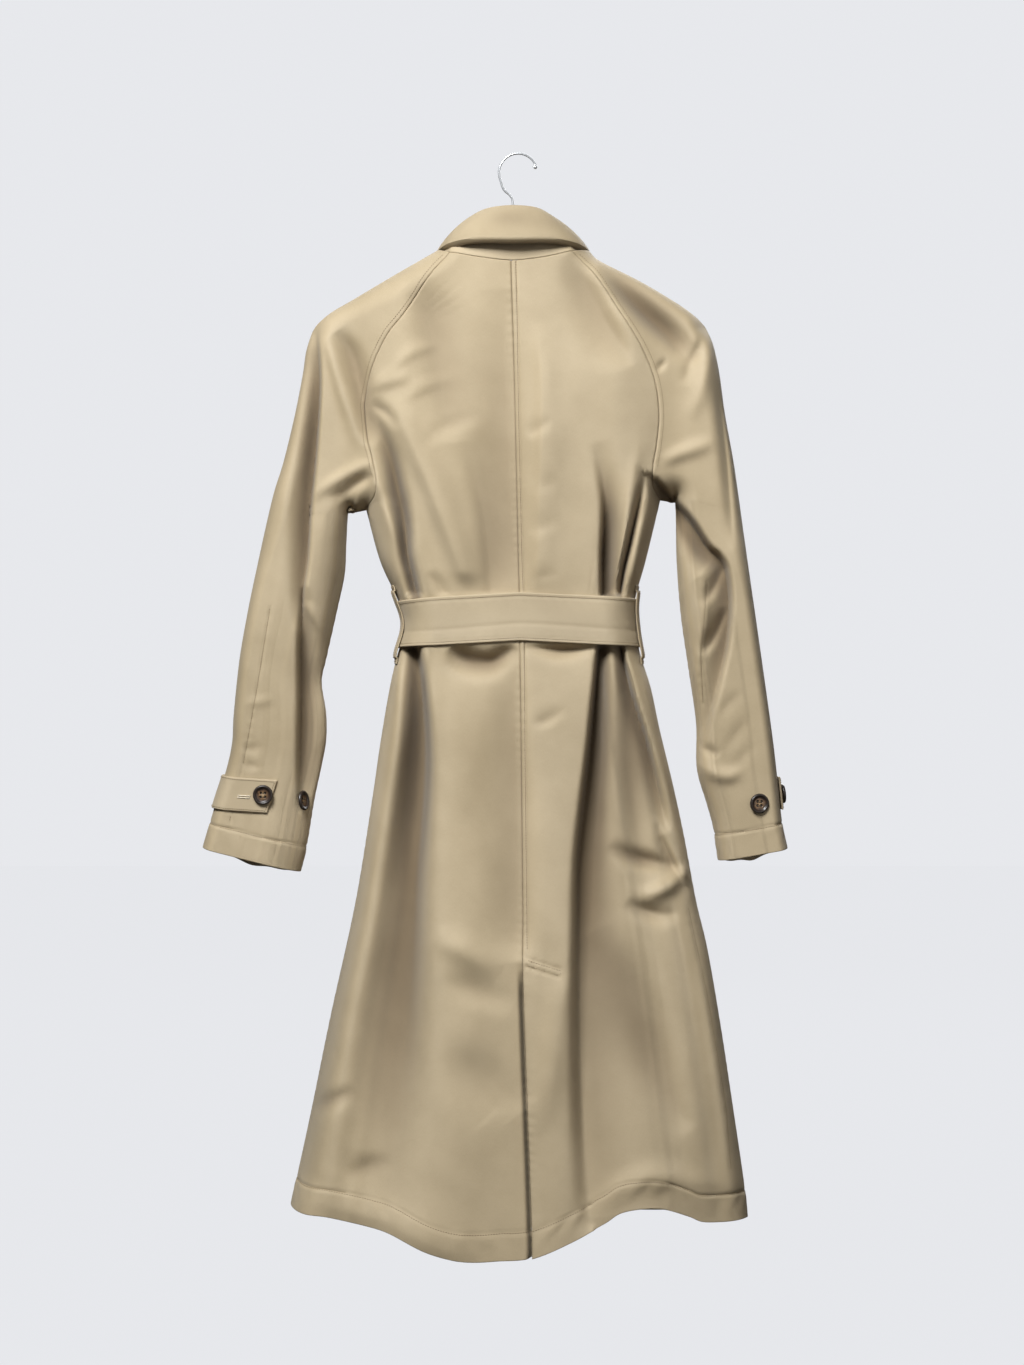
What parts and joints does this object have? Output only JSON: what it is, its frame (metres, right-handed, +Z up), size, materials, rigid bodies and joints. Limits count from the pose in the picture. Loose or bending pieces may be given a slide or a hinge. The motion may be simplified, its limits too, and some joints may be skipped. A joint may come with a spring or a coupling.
{
  "type": "trench coat on a coat hanger",
  "caption": "Belted raglan trench coat with a turned-down collar and back vent, hanging by the shoulders on a wire-hook hanger.",
  "frame": {"origin": "underside of the hook's round top, where a rail or peg holds the hanger", "axes": "+Z up, the coat's back faces -Y, the wearer's right side is +X"},
  "size_m": [0.6744, 0.2017, 1.2546],
  "materials": {
    "coat_gabardine": "smooth cotton gabardine with a soft sheen",
    "horn_button": "polished dark horn look",
    "hanger_arms": "plain matte",
    "hook_wire": "bright chrome wire"
  },
  "bodies": {
    "root": {"back_left": "coat_gabardine", "back_right": "coat_gabardine", "vent_underlap": "coat_gabardine", "front_left": "coat_gabardine", "front_right": "coat_gabardine", "sleeve_left_back": "coat_gabardine", "sleeve_left_front": "coat_gabardine", "sleeve_right_back": "coat_gabardine", "sleeve_right_front": "coat_gabardine", "sleeve_tab_left": "coat_gabardine", "sleeve_tab_right": "coat_gabardine", "collar_stand": "coat_gabardine", "collar_fall": "coat_gabardine", "belt": "coat_gabardine", "belt_end": "coat_gabardine", "belt_loop_left": "coat_gabardine", "belt_loop_right": "coat_gabardine", "tab_button_left": "horn_button", "tab_button_right": "horn_button", "spare_button_left": "horn_button", "spare_button_right": "horn_button", "front_button_1": "horn_button", "front_button_2": "horn_button", "front_button_3": "horn_button", "front_button_4": "horn_button", "front_button_5": "horn_button", "belt_buckle": "horn_button", "buckle_prong": "horn_button", "hanger_arms": "hanger_arms", "hanger_hook": "hook_wire"}
  },
  "joints": []
}
